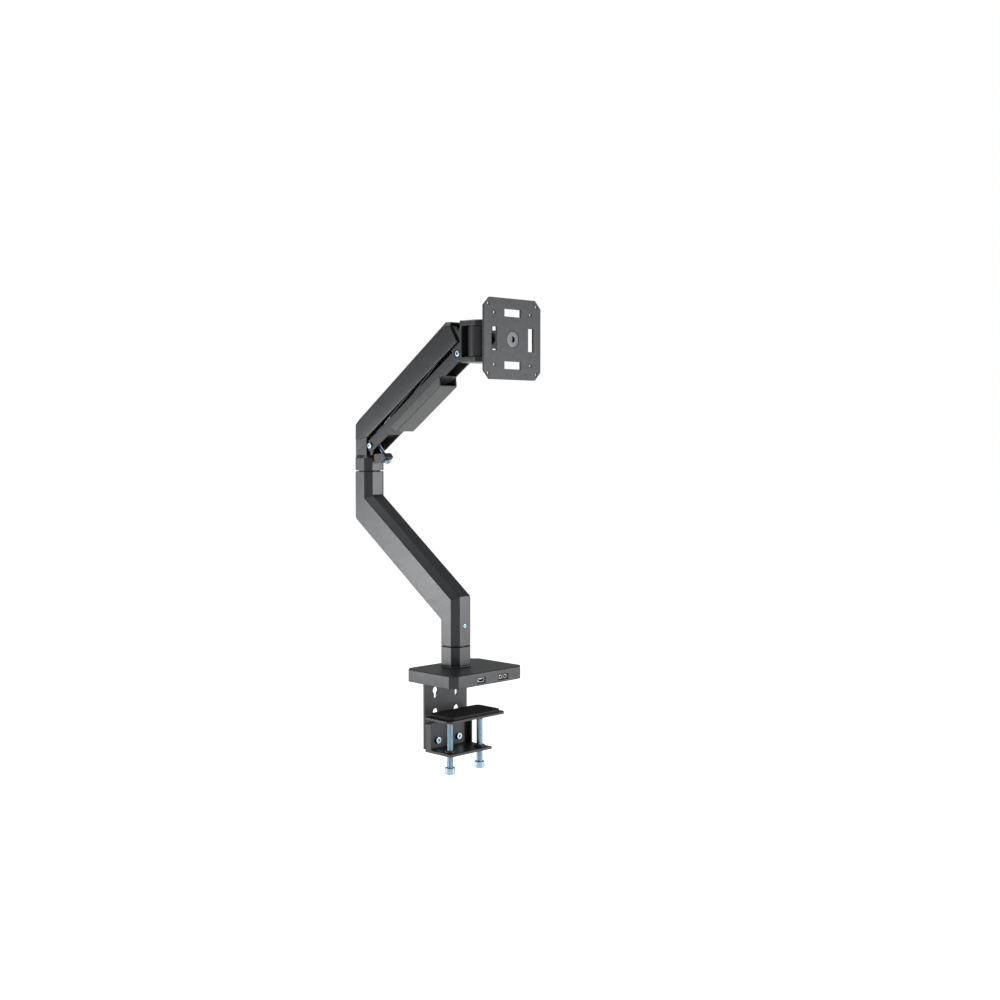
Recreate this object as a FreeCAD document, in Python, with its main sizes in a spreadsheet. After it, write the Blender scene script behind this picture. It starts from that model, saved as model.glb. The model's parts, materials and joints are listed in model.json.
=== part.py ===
import FreeCAD, Part
import math
import os
import re
from FreeCAD import Vector, Rotation, Placement

# Spring-assisted monitor arm on a two-bolt desk clamp.
# Origin: swivel axis of the base, on the desk surface. +X towards the user, +Z up.
# The arm is symmetric about the XZ plane; the cells below are the driving sizes in mm and degrees.

SIZES = {
    # octagonal section shared by the posts and the lower arm
    "section_w": 41.0, "section_cut": 9.5, "edge_break": 1.0,
    # base housing, its underside pad and the collar round the post
    "base_back": 35.0, "base_front": 75.0, "base_wide": 150.0, "base_top": 20.0, "base_under": 1.0,
    "base_corner": 10.0, "base_rim": 3.0, "pad_top": 3.5, "collar_w": 42.0, "collar_cut": 9.8,
    "collar_top": 22.5,
    # swivel joints: spindle, bushes, thrust washers and locking screws
    "spindle_rad": 9.0, "spindle_flange_rad": 14.0, "spindle_flange_thick": 4.0, "bush_rad": 12.0,
    "bush_long": 16.0, "run_fit": 0.05, "washer_rad": 17.0, "washer_thick": 1.6, "groove_deep": 1.5,
    "groove_long": 7.0, "set_screw_rad": 3.0, "base_joint": 52.0, "base_spindle_up": 60.0,
    "base_set_screw_up": 31.0, "elbow_joint": 315.0, "elbow_spindle_down": 53.0,
    "elbow_set_screw_down": 26.0, "bore_spare": 4.0,
    # lower arm: two upright ends joined by a deeper sloping beam
    "reach": 205.0, "low_bend_back": 89.0, "low_bend_front": 128.5, "high_bend_back": 236.0,
    "high_bend_front": 277.0, "channel_w": 22.0, "channel_start": 32.0, "channel_stop": 205.0,
    "channel_deep": 44.0, "cover_thick": 3.0, "cover_gap": 0.3,
    # clamp: back plate with keyholes, adjustable jaw, two bolts and the pressing plate
    "steel": 4.0, "plate_w": 89.0, "plate_face": 22.0, "plate_drop": 107.0, "flange_reach": 34.0,
    "key_side": 22.0, "key_first": 18.5, "key_pitch": 33.5, "key_rad": 5.5, "key_slot": 3.0,
    "key_long": 10.0, "jaw_w": 88.0, "jaw_front": 34.5, "jaw_floor": 111.0, "jaw_tall": 44.0,
    "jaw_side": 13.0, "jaw_screw_rad": 2.9, "bolt_rad": 5.0, "bolt_x": 20.0, "bolt_side": 31.0,
    "bolt_top": 59.0, "bolt_bottom": 130.0, "bolt_head_rad": 8.0, "bolt_head_tall": 10.0,
    "press_back": 8.0, "press_front": 50.0, "press_w": 121.0, "press_floor": 56.0, "press_thick": 3.5,
    "press_pad_w": 104.0, "press_pad_thick": 5.0, "cup_rad": 9.5, "cup_tall": 6.0,
    # sockets in the base front
    "usb_y": -18.0, "usb_w": 16.0, "jack_y": 27.5, "jack_w": 22.0, "socket_low": 4.2, "socket_tall": 8.4,
    # elbow bracket and the parallel links of the spring arm
    "shoulder_up": 26.0, "neck_w": 32.4, "cheek": 2.4, "floor_up": 28.5, "link_long": 250.0,
    "incline": 34.0, "upper_fore": 6.0, "upper_up": 73.0, "lower_fore": 18.5, "lower_rise": 42.0,
    "pivot_rad": 5.0, "hub_rad": 10.8, "ear_rad": 9.5, "lug_wall": 2.2, "lug_play": 0.2,
    "link_screw_rad": 3.0, "link_head_rad": 4.6, "upper_w": 21.0, "upper_wall": 2.3, "upper_half": 10.0,
    "side_play": 0.1, "link_play": 0.3, "lower_wall": 2.3, "lower_down": 10.0, "lower_up": 9.0, "hood_play": 1.8,
    "hood_wall": 2.5, "hood_up": 18.5, "hood_rise": 4.9, "hood_down": 21.0, "hood_round": 6.5, "window": 45.0,
    "cable_floor": 20.5, "cable_rim": 6.0, "cable_wall": 2.0, "cable_from": 62.0,
    "cable_to": 200.0,
    # gas strut with its adjustable anchor
    "anchor_x": 6.0, "anchor_z": -17.0, "strut_at": 200.0, "strut_rad": 7.0, "strut_long": 136.0,
    "rod_rad": 3.5, "fork_in": 4.8, "fork_out": 7.6, "fork_reach": 26.0, "fork_slot": 4.1, "fork_down": 5.5,
    "fork_up": 6.7, "fork_wall": 2.3, "anchor_pin_rad": 2.0, "carriage_half": 4.4, "carriage_low": 15.0,
    "carriage_high": 5.0, "screw_tilt": 41.0, "screw_rad": 3.0, "screw_seat": 49.5,
    # tip bracket, head joint and mounting plate
    "head_up": 17.202, "head_down": 45.798, "lug_thick": 8.0, "wall_out": 22.741, "wall_thick": 4.0,
    "pan_out": 45.741, "pan_rad": 6.0, "barrel_rad": 18.5, "barrel_play": 0.85, "tilt_out": 85.741,
    "tilt_down": 14.298, "tilt_rad": 5.0, "tilt_barrel": 13.0, "tilt_half": 15.0, "yoke_in": 15.6,
    "yoke_thick": 4.0, "yoke_out": 107.741, "yoke_tall": 52.0, "turn_rad": 8.0, "vesa_out": 110.741,
    "vesa_thick": 3.5, "vesa_w": 118.0, "vesa_corner": 12.0, "vesa_hole": 2.3, "vesa_small": 75.0,
    "vesa_large": 100.0,
}

# sizes that follow from the ones above: the elbow's pivots stand over the elbow joint,
# the lower link fits between the cheeks, and the head is set out from the upper link's far pivot
FOLLOWING = {
    "shoulder": "elbow_joint + shoulder_up", "floor_top": "elbow_joint + floor_up",
    "upper_px": "-reach + upper_fore", "upper_pz": "elbow_joint + upper_up",
    "lower_px": "-reach + lower_fore", "lower_pz": "elbow_joint + lower_rise",
    "lower_w": "neck_w - 2 * cheek - 2 * link_play", "lug_out": "lower_w / 2 - lower_wall - lug_play",
    "lug_in": "lug_out - lug_wall", "hood_w": "neck_w + 2 * hood_wall + 2 * hood_play",
    "cable_w": "neck_w + 2 * cable_wall",
    "tip_px": "upper_px + link_long * cos(incline)", "tip_pz": "upper_pz + link_long * sin(incline)",
    "head_top": "tip_pz + head_up", "head_low": "tip_pz - head_down", "wall_x": "tip_px + wall_out",
    "pan_x": "tip_px + pan_out", "tilt_x": "tip_px + tilt_out", "tilt_z": "tip_pz - tilt_down",
    "yoke_front": "tip_px + yoke_out", "vesa_back": "tip_px + vesa_out",
}

doc = FreeCAD.newDocument("MonitorArm")
sheet = doc.addObject("Spreadsheet::Sheet", "Sizes")
cells = [(alias, str(size)) for alias, size in SIZES.items()]
cells += [(alias, "=" + words) for alias, words in FOLLOWING.items()]
for row, (alias, words) in enumerate(cells, start=1):
    sheet.set("A%d" % row, alias)
    sheet.set("B%d" % row, words)
    sheet.setAlias("B%d" % row, alias)
doc.recompute()
for alias in FOLLOWING:
    SIZES[alias] = float(sheet.get(alias))

nodes = []


class Size:
    """Attribute access to the driving sizes, for outlines and places worked out in this script."""

    def __getattr__(self, name):
        return SIZES[name]


d = Size()


def bind(obj, prop, words):
    """Bind a property to an expression written with the sheet's aliases."""
    words = str(words)
    for alias in sorted(set(re.findall(r"[a-z_]+", words)), key=len, reverse=True):
        if alias in SIZES:
            words = re.sub(r"(?<![a-z_.])%s(?![a-z_])" % alias, "Sizes." + alias, words)
    obj.setExpression(prop, words)


def put(obj, x=0, y=0, z=0, turn=None):
    """Place an object; turn is (axis, degrees)."""
    if turn:
        obj.Placement = Placement(Vector(0, 0, 0), Rotation(Vector(*turn[0]), turn[1]))
    for axis, words in (("x", x), ("y", y), ("z", z)):
        bind(obj, "Placement.Base." + axis, words)
    return obj


def block(name, long, wide, tall, x=0, y=0, z=0):
    """Box from its low corner."""
    obj = doc.addObject("Part::Box", name)
    bind(obj, "Length", long)
    bind(obj, "Width", wide)
    bind(obj, "Height", tall)
    return put(obj, x, y, z)


def rod(name, rad, long, x=0, y=0, z=0, along="z"):
    """Cylinder that starts at x, y, z and runs along +x, +y or +z."""
    obj = doc.addObject("Part::Cylinder", name)
    bind(obj, "Radius", rad)
    bind(obj, "Height", long)
    turns = {"x": ((0, 1, 0), 90), "y": ((1, 0, 0), -90), "z": None}
    return put(obj, x, y, z, turns[along])


def slab(name, points, thick, plane="XZ", level=0, corners=None, break_edges=None):
    """PartDesign body: one outline padded evenly about its plane (XZ) or upwards from level (XY)."""
    body = doc.addObject("PartDesign::Body", name)
    sketch = body.newObject("Sketcher::SketchObject", name + "_outline")
    origin = [f for f in body.Origin.OriginFeatures if f.Role == plane + "_Plane"][0]
    sketch.AttachmentSupport = [(origin, "")]
    sketch.MapMode = "FlatFace"
    count = len(points)
    for i in range(count):
        a, b = points[i], points[(i + 1) % count]
        sketch.addGeometry(Part.LineSegment(Vector(a[0], a[1], 0), Vector(b[0], b[1], 0)), False)
    pad = body.newObject("PartDesign::Pad", name + "_pad")
    pad.Profile = sketch
    bind(pad, "Length", thick)
    if plane == "XZ":
        pad.SideType = "Symmetric"
    else:
        bind(sketch, ".AttachmentOffset.Base.z", level)
    doc.recompute()
    last = pad
    for tag, size, pick in (("cut", corners and corners[0], corners and corners[1]),
                            ("edge", break_edges and break_edges[0], break_edges and break_edges[1])):
        if size:
            picked = ["Edge%d" % (n + 1) for n, e in enumerate(last.Shape.Edges) if pick(e)]
            chamfer = body.newObject("PartDesign::Chamfer", name + "_" + tag)
            chamfer.Base = (last, picked)
            bind(chamfer, "Size", size)
            doc.recompute()
            last = chamfer
    body.Tip = last
    return body


def join(name, *parts):
    obj = doc.addObject("Part::MultiFuse", name)
    obj.Shapes = list(parts)
    obj.Refine = True
    return obj


def cut(name, base, *tools):
    obj = doc.addObject("Part::Cut", name)
    obj.Base = base
    obj.Tool = tools[0] if len(tools) == 1 else join(name + "_tools", *tools)
    obj.Refine = True
    return obj


def common(name, a, b):
    obj = doc.addObject("Part::Common", name)
    obj.Base = a
    obj.Tool = b
    obj.Refine = True
    return obj


def node(obj, label):
    """Register a finished sub-part under its own name."""
    obj.Label = label
    nodes.append((label, obj))
    return obj


def ring(label, out, inner, long, x=0, y=0, z=0, along="z"):
    """Washer, bush or spacer."""
    outer = rod(label + "_outer", out, long, x, y, z, along)
    hole = rod(label + "_hole", inner, long, x, y, z, along)
    return node(cut(label + "_ring", outer, hole), label)


def clipped(x0, x1, y0, y1, corner):
    """Rectangle with its corners clipped."""
    return [(x0 + corner, y0), (x1 - corner, y0), (x1, y0 + corner), (x1, y1 - corner),
            (x1 - corner, y1), (x0 + corner, y1), (x0, y1 - corner), (x0, y0 + corner)]


def octagon(name, x, low, high):
    """Upright post of the arm's octagonal section centred on x."""
    half = d.section_w / 2
    return slab(name, clipped(x - half, x + half, -half, half, d.section_cut),
                "%s - (%s)" % (high, low), "XY", low)


def hex_key(name, across, deep, x, y, z, along="z"):
    """Hexagon socket cutter."""
    obj = doc.addObject("Part::Prism", name)
    obj.Polygon = 6
    bind(obj, "Circumradius", "%s / 1.732" % across)
    bind(obj, "Height", deep)
    turns = {"x": ((0, 1, 0), 90), "y": ((1, 0, 0), -90), "z": None}
    return put(obj, x, y, z, turns[along])


def lies_at(edge, axis, value):
    """True when the whole edge lies at one level along an axis."""
    box = edge.BoundBox
    low, high = {"x": (box.XMin, box.XMax), "y": (box.YMin, box.YMax), "z": (box.ZMin, box.ZMax)}[axis]
    return abs(low - value) < 1e-4 and abs(high - value) < 1e-4


# ---- base housing: cast plate with a raised collar, hollow below for pad, flange and sockets ----
half_base = d.base_wide / 2
half_collar = d.collar_w / 2
housing_plate = slab("housing_plate", clipped(-d.base_back, d.base_front, -half_base, half_base, d.base_corner),
                     "base_top - base_under", "XY", "base_under",
                     break_edges=("edge_break", lambda e: lies_at(e, "z", d.base_top)))
housing_collar = slab("housing_collar", clipped(-half_collar, half_collar, -half_collar, half_collar, d.collar_cut),
                      "collar_top - base_top", "XY", "base_top",
                      break_edges=("edge_break", lambda e: lies_at(e, "z", d.collar_top)))
rim = d.base_rim
pad_room = slab("pad_room", clipped(-d.base_back + rim, d.base_front - rim, -half_base + rim, half_base - rim,
                                    d.base_corner - 1), "pad_top - base_under", "XY", "base_under")
flange_room = block("flange_room", "flange_reach + plate_face + steel + 2 * cover_gap",
                    "plate_w + 2 * cover_gap", "steel",
                    "-plate_face - steel - cover_gap", "-plate_w / 2 - cover_gap", "pad_top")
hub_room = block("hub_room", 30, "base_wide / 2 + 38", 10, "base_front - 34", -46, "pad_top")
usb_hole = block("usb_hole", 8, "usb_w", "socket_tall", "base_front - 5", "usb_y - usb_w / 2", "socket_low")
jack_hole = block("jack_hole", 8, "jack_w", "socket_tall", "base_front - 5", "jack_y - jack_w / 2", "socket_low")
inlet_hole = rod("inlet_hole", 2.6, 12, "base_front - 18", "base_wide / 2 - 11", "pad_top + 3.5", "y")
spindle_hole = rod("housing_spindle_hole", "spindle_rad", "collar_top")
flange_seat = rod("housing_flange_seat", "spindle_flange_rad", "spindle_flange_thick", z="pad_top + steel")
screw_spots = [(12, -30), (12, 30)]
screw_holes = [rod("housing_screw_%d" % i, 2.5, 12, x, y, "pad_top")
               for i, (x, y) in enumerate(screw_spots, start=1)]
node(cut("housing", join("housing_body", housing_plate, housing_collar), pad_room, flange_room, hub_room,
         usb_hole, jack_hole, inlet_hole, spindle_hole, flange_seat, *screw_holes), "base_housing")

node(slab("pad", clipped(-d.plate_face + d.cover_gap, d.base_front - rim - d.cover_gap,
                         -half_base + rim + d.cover_gap, half_base - rim - d.cover_gap, d.base_corner - 1),
          "pad_top", "XY", 0), "base_pad")

# ---- hub board and its sockets ----
board = block("board", 24, 98, 1.2, "base_front - 30", -41, "pad_top + 0.2")
node(board, "hub_board")
usb_shell = block("usb_shell", 14, "usb_w - 0.6", "socket_tall - 1", "base_front - 15.2",
                  "usb_y - usb_w / 2 + 0.3", "pad_top + 1.5")
usb_mouth = block("usb_mouth", 11, 12.4, 5, "base_front - 11.7", "usb_y - 6.2", "pad_top + 2.7")
usb_tongue = block("usb_tongue", 9, 10.6, 1.8, "base_front - 12.2", "usb_y - 5.3", "pad_top + 4.9")
node(join("usb_parts", cut("usb_hollow", usb_shell, usb_mouth), usb_tongue), "usb_socket")
jack_block = block("jack_block", 14, "jack_w - 0.6", "socket_tall - 1", "base_front - 15.2",
                   "jack_y - jack_w / 2 + 0.3", "pad_top + 1.5")
jack_holes = [rod("jack_bore_%d" % i, 1.8, 12, "base_front - 13", "jack_y + %d" % side,
                  "pad_top + 5.2", "x") for i, side in enumerate((-5, 5), start=1)]
node(cut("jack_pair", jack_block, *jack_holes), "audio_sockets")

# ---- clamp back plate, bent over under the housing and pierced with keyholes ----
web = block("plate_web", "steel", "plate_w", "plate_drop + pad_top + steel",
            "-plate_face - steel", "-plate_w / 2", "-plate_drop")
flange = block("plate_flange", "flange_reach + plate_face + steel", "plate_w", "steel",
               "-plate_face - steel", "-plate_w / 2", "pad_top")
key_cuts = []
for side in (-1, 1):
    for step in range(3):
        name = "key_%s_%d" % ("left" if side < 0 else "right", step)
        top = "-key_first - %d * key_pitch" % step
        middle = "%d * key_side" % side
        key_cuts.append(rod(name, "key_rad", "3 * steel", "-plate_face - 2 * steel", middle, top, "x"))
        key_cuts.append(rod(name + "_end", "key_slot", "3 * steel", "-plate_face - 2 * steel", middle,
                            top + " - key_long", "x"))
        key_cuts.append(block(name + "_slot", "3 * steel", "2 * key_slot", "key_long",
                              "-plate_face - 2 * steel", middle + " - key_slot", top + " - key_long"))
spindle_pass = []
for i, (x, y) in enumerate(screw_spots, start=1):
    sink = doc.addObject("Part::Cone", "plate_sink_%d" % i)
    sink.Radius1 = 5.0
    sink.Radius2 = 2.5
    sink.Height = 2.5
    put(sink, x, y, "pad_top")
    spindle_pass += [sink, rod("plate_screw_hole_%d" % i, 2.5, "steel", x, y, "pad_top")]
node(cut("back_plate", join("back_plate_body", web, flange), *(key_cuts + spindle_pass)), "clamp_back_plate")

for i, (x, y) in enumerate(screw_spots, start=1):
    head = doc.addObject("Part::Cone", "base_screw_head_%d" % i)
    head.Radius1 = 5.0
    head.Radius2 = 2.5
    head.Height = 2.5
    put(head, x, y, "pad_top")
    shank = rod("base_screw_shank_%d" % i, 2.5, 9.5, x, y, "pad_top + 2.5")
    socket = hex_key("base_screw_key_%d" % i, 3, 1.6, x, y, "pad_top")
    node(cut("base_screw_%d_body" % i, join("base_screw_%d_blank" % i, head, shank), socket), "base_screw_%d" % i)

# ---- jaw: pressed channel that hooks into the keyholes, with threaded bushes for the bolts ----
key_seat = "-key_first - 2 * key_pitch - key_long"
jaw_web = block("jaw_web", "steel", "jaw_w", "jaw_tall", "-plate_face", "-jaw_w / 2", "-jaw_floor")
jaw_floor = block("jaw_floor_plate", "jaw_front + plate_face", "jaw_w", "steel", "-plate_face",
                  "-jaw_w / 2", "-jaw_floor")
jaw_sides = [block("jaw_side_%d" % i, "jaw_side", 3, "jaw_tall", "-plate_face", y, "-jaw_floor")
             for i, y in enumerate(("-jaw_w / 2", "jaw_w / 2 - 3"), start=1)]
jaw_cuts = []
for side, word in ((-1, "left"), (1, "right")):
    jaw_sides.append(rod("jaw_bush_" + word, "bolt_rad + 3.5", "steel + 3", "bolt_x",
                         "%d * bolt_side" % side, "-jaw_floor"))
    jaw_cuts.append(rod("jaw_thread_" + word, "bolt_rad + run_fit", "3 * steel", "bolt_x",
                        "%d * bolt_side" % side, "-jaw_floor - 1"))
    jaw_cuts.append(rod("jaw_screw_hole_" + word, "jaw_screw_rad", "3 * steel", "-plate_face - steel",
                        "%d * key_side" % side, key_seat, "x"))
node(cut("jaw", join("jaw_body", jaw_web, jaw_floor, *jaw_sides), *jaw_cuts), "clamp_jaw")

for side, word in ((-1, "left"), (1, "right")):
    seat_y = "%d * key_side" % side
    head = rod("jaw_screw_head_" + word, 5, 3.2, "-plate_face + steel", seat_y, key_seat, "x")
    shank = rod("jaw_screw_shank_" + word, "jaw_screw_rad", "2 * steel + 4.6", "-plate_face - steel - 4.6",
                seat_y, key_seat, "x")
    socket = hex_key("jaw_screw_key_" + word, 4, 2, "-plate_face + steel + 1.3", seat_y, key_seat, "x")
    node(cut("jaw_screw_body_" + word, join("jaw_screw_blank_" + word, head, shank), socket),
         "jaw_screw_" + word)
nut_bar = block("jaw_nut_bar", 4, "2 * key_side + 14", 10, "-plate_face - steel - 4", "-key_side - 7",
                key_seat + " - 5")
nut_holes = [rod("jaw_nut_hole_" + word, "jaw_screw_rad", 4, "-plate_face - steel - 4", "%d * key_side" % side,
                 key_seat, "x") for side, word in ((-1, "left"), (1, "right"))]
node(cut("jaw_nut_body", nut_bar, *nut_holes), "jaw_nut_bar")

# ---- pressing plate, rubber pad and the two clamp bolts that carry it ----
half_press = d.press_w / 2
press_sheet = slab("press_sheet", clipped(-d.press_back, d.press_front, -half_press, half_press, 6),
                   "press_thick", "XY", "-press_floor")
press_parts = [press_sheet]
press_cuts = []
for side, word in ((-1, "left"), (1, "right")):
    y = "%d * bolt_side" % side
    press_parts.append(rod("press_cup_" + word, "cup_rad", "cup_tall", "bolt_x", y, "-press_floor - cup_tall"))
    press_cuts.append(rod("press_cup_hole_" + word, "bolt_rad + run_fit", "cup_tall + 0.4", "bolt_x", y,
                          "-bolt_top - 3"))
node(cut("press", join("press_body", *press_parts), *press_cuts), "pressing_plate")
pad_half = d.press_pad_w / 2
node(slab("press_rubber", clipped(-d.press_back + 3, d.press_front - 3, -pad_half, pad_half, 5),
          "press_pad_thick", "XY", "-press_floor + press_thick",
          break_edges=("edge_break", lambda e: lies_at(e, "z", -d.press_floor + d.press_thick + d.press_pad_thick))),
     "pressing_pad")
for side, word in ((-1, "left"), (1, "right")):
    y = "%d * bolt_side" % side
    shaft = rod("bolt_shaft_" + word, "bolt_rad", "bolt_bottom - bolt_top", "bolt_x", y, "-bolt_bottom")
    head = rod("bolt_head_" + word, "bolt_head_rad", "bolt_head_tall", "bolt_x", y,
               "-bolt_bottom - bolt_head_tall")
    socket = hex_key("bolt_key_" + word, 8, 5, "bolt_x", y, "-bolt_bottom - bolt_head_tall")
    node(cut("bolt_body_" + word, join("bolt_blank_" + word, shaft, head), socket), "clamp_bolt_" + word)

# ---- base post, spindle and thrust washer ----
post_top = "base_joint - washer_thick - run_fit"
post_bore = rod("post_bore", "spindle_rad", 60, z=0)
node(cut("post", octagon("post_shell", 0, "collar_top", post_top), post_bore), "base_post")


def spindle(label, x, low, high, groove_z, flange_z):
    """Turned steel spindle with a locking groove and, where given, a flange."""
    core = rod(label + "_core", "spindle_rad", "%s - (%s)" % (high, low), x, 0, low)
    if flange_z:
        plate = rod(label + "_flange", "spindle_flange_rad", "spindle_flange_thick", x, 0, flange_z)
        core = join(label + "_blank", core, plate)
    outer = rod(label + "_groove_out", "spindle_rad + 2", "groove_long", x, 0, groove_z + " - groove_long / 2")
    inner = rod(label + "_groove_in", "spindle_rad - groove_deep", "groove_long", x, 0,
                groove_z + " - groove_long / 2")
    groove = cut(label + "_groove", outer, inner)
    return node(cut(label + "_turned", core, groove), label)


base_screw_z = "base_joint + base_set_screw_up"
elbow_screw_z = "elbow_joint - elbow_set_screw_down"
spindle("base_spindle", "0", "pad_top + steel", "base_joint + base_spindle_up", base_screw_z,
        "pad_top + steel")
ring("base_thrust_washer", "washer_rad", "spindle_rad + run_fit", "washer_thick", 0, 0, post_top)

# ---- lower arm: octagonal casting that leans back from the base to the elbow ----
half = d.section_w / 2
back_x, front_x = -d.reach - half, -d.reach + half
arm_points = [(-half, d.base_joint), (half, d.base_joint), (half, d.low_bend_front),
              (front_x, d.high_bend_front), (front_x, d.elbow_joint), (back_x, d.elbow_joint),
              (back_x, d.high_bend_back), (-half, d.low_bend_back)]


def long_edge(edge):
    """Edges along the arm on its two sides, without those round the open ends."""
    on_side = lies_at(edge, "y", half) or lies_at(edge, "y", -half)
    return on_side and not (lies_at(edge, "z", d.base_joint) or lies_at(edge, "z", d.elbow_joint))


arm_shell = slab("arm_shell", arm_points, "section_w", corners=("section_cut", long_edge))
slope = math.atan2(d.high_bend_back - d.low_bend_back, -half - back_x)
along_x, along_z = -math.cos(slope), math.sin(slope)
up_x, up_z = math.sin(slope), math.cos(slope)


def on_underside(run, depth):
    """Point a distance up the sloping underside and a depth into the beam."""
    return (-half + along_x * run + up_x * depth, d.low_bend_back + along_z * run + up_z * depth)


channel = slab("arm_channel", [on_underside(d.channel_start, -1), on_underside(d.channel_stop, -1),
                               on_underside(d.channel_stop, d.channel_deep - 12),
                               on_underside(d.channel_stop - 14, d.channel_deep),
                               on_underside(d.channel_start + 24, d.channel_deep),
                               on_underside(d.channel_start, d.channel_deep - 24)], "channel_w")
arm_cuts = [channel,
            rod("arm_low_bore", "bush_rad", "base_spindle_up + bore_spare", 0, 0, "base_joint"),
            rod("arm_high_bore", "bush_rad", "elbow_spindle_down + bore_spare", "-reach", 0,
                "elbow_joint - elbow_spindle_down - bore_spare"),
            rod("arm_low_screw_hole", "set_screw_rad", 20, 0, 0, base_screw_z, "x"),
            rod("arm_high_screw_hole", "set_screw_rad", 20.5, "-reach - section_w / 2", 0, elbow_screw_z, "x")]
node(cut("arm", arm_shell, *(arm_cuts + [rod("arm_low_screw_mouth", "set_screw_rad", 2, 19, 0, base_screw_z, "x")])),
     "lower_arm")
lip = d.cover_gap
node(slab("arm_cover", [on_underside(d.channel_start + lip, 0), on_underside(d.channel_stop - lip, 0),
                        on_underside(d.channel_stop - lip, d.cover_thick),
                        on_underside(d.channel_start + lip, d.cover_thick)],
          "channel_w - 2 * cover_gap"), "lower_arm_cover")

for label, x, low in (("base_bush_low", "0", "base_joint"),
                      ("base_bush_high", "0", "base_joint + base_spindle_up - bush_long"),
                      ("elbow_bush_high", "-reach", "elbow_joint - bush_long"),
                      ("elbow_bush_low", "-reach", "elbow_joint - elbow_spindle_down")):
    ring(label, "bush_rad", "spindle_rad + run_fit", "bush_long", x, 0, low)

screw_long = "section_w / 2 - spindle_rad + groove_deep - 0.4"
base_set = rod("base_set_blank", "set_screw_rad", screw_long, "spindle_rad - groove_deep + 0.4", 0,
               base_screw_z, "x")
base_set_key = hex_key("base_set_key", 3, 4, "section_w / 2 - 3.5", 0, base_screw_z, "x")
node(cut("base_set_body", base_set, base_set_key), "base_lock_screw")
elbow_set = rod("elbow_set_blank", "set_screw_rad", screw_long, "-reach - section_w / 2", 0, elbow_screw_z, "x")
elbow_set_key = hex_key("elbow_set_key", 3, 3.5, "-reach - section_w / 2", 0, elbow_screw_z, "x")
node(cut("elbow_set_body", elbow_set, elbow_set_key), "elbow_lock_screw")
ring("elbow_thrust_washer", "washer_rad", "spindle_rad + run_fit", "washer_thick", "-reach", 0, "elbow_joint")

# ---- elbow bracket: octagonal foot, narrower neck with two cheeks, and lugs for the lower link ----
foot_low = "elbow_joint + washer_thick + run_fit"
foot = slab("elbow_foot", clipped(-d.reach - half, -d.reach + half, -half, half, d.section_cut),
            "shoulder - (%s)" % foot_low, "XY", foot_low,
            break_edges=("(section_w - neck_w) / 2", lambda e: lies_at(e, "z", d.shoulder)))
ax, az, bx, bz = d.upper_px, d.upper_pz, d.lower_px, d.lower_pz
neck_plate = slab("neck_plate", [(back_x, d.shoulder - 4), (bx - 6.5, d.shoulder - 4), (bx - 6.5, az - 14),
                                 (ax, az + d.hub_rad), (ax - 7, az + 8), (ax - 12, az + 4), (back_x, az - 14)], "neck_w")
neck_hub = rod("neck_hub", "hub_rad", "neck_w", "upper_px", "-neck_w / 2", "upper_pz", "y")
neck = common("neck", join("neck_blank", neck_plate, neck_hub), octagon("neck_limit", -d.reach, "310", "420"))
neck_room = block("neck_room", 60, "neck_w - 2 * cheek", 80, "-reach - section_w / 2 + 4",
                  "-neck_w / 2 + cheek", "floor_top")
lug_shape = slab("lug_shape", [(bx - 9, d.floor_top - 2), (front_x, d.floor_top - 2), (front_x, d.floor_top),
                               (bx + 9, bz), (bx - 9, bz)], "2 * lug_out")
lug_end = rod("lug_end", "ear_rad - 0.5", "2 * lug_out", "lower_px", "-lug_out", "lower_pz", "y")
lug_gap = block("lug_gap", 60, "2 * lug_in", 80, "lower_px - 30", "-lug_in", "floor_top")
lugs = cut("elbow_lugs", join("elbow_lug_blank", lug_shape, lug_end), lug_gap)
bracket_cuts = [rod("elbow_pin_hole", "pivot_rad", "neck_w", "upper_px", "-neck_w / 2 + 1", "upper_pz", "y"),
                rod("elbow_screw_hole", "link_screw_rad", "neck_w", "lower_px", "-neck_w / 2", "lower_pz", "y"),
                rod("elbow_spindle_hole", "spindle_rad", "24", "-reach", 0, foot_low)]
node(cut("elbow", join("elbow_body", foot, cut("neck_open", neck, neck_room), lugs), *bracket_cuts),
     "elbow_bracket")
spindle("elbow_spindle", "-reach", "elbow_joint - elbow_spindle_down", "%s + 20" % foot_low, elbow_screw_z, "")


def pivot_set(place):
    """Upper pivot pin and the two shoulder screws of the lower pivot."""
    sx, sz = {"elbow": ("upper_px", "upper_pz"),
              "tip": ("upper_px + link_long * cos(incline)", "upper_pz + link_long * sin(incline)")}[place]
    lx, lz = {"elbow": ("lower_px", "lower_pz"),
              "tip": ("lower_px + link_long * cos(incline)", "lower_pz + link_long * sin(incline)")}[place]
    node(rod(place + "_pin", "pivot_rad", "neck_w - 1", sx, "-neck_w / 2 + 1", sz, "y"), place + "_pivot_pin")
    for side, word in ((-1, "left"), (1, "right")):
        shank_from = "lug_in" if side > 0 else "-lower_w / 2 - 0.1"
        head_from = "lower_w / 2 + 0.1" if side > 0 else "-lower_w / 2 - 2.8"
        key_from = "lower_w / 2 + 1.2" if side > 0 else "-lower_w / 2 - 2.8"
        shank = rod("%s_link_shank_%s" % (place, word), "link_screw_rad", "lower_w / 2 + 0.1 - lug_in",
                    lx, shank_from, lz, "y")
        head = rod("%s_link_head_%s" % (place, word), "link_head_rad", 2.7, lx, head_from, lz, "y")
        socket = hex_key("%s_link_key_%s" % (place, word), 4, 1.6, lx, key_from, lz, "y")
        node(cut("%s_link_screw_body_%s" % (place, word),
                 join("%s_link_blank_%s" % (place, word), shank, head), socket),
             "%s_link_screw_%s" % (place, word))


pivot_set("elbow")

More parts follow.
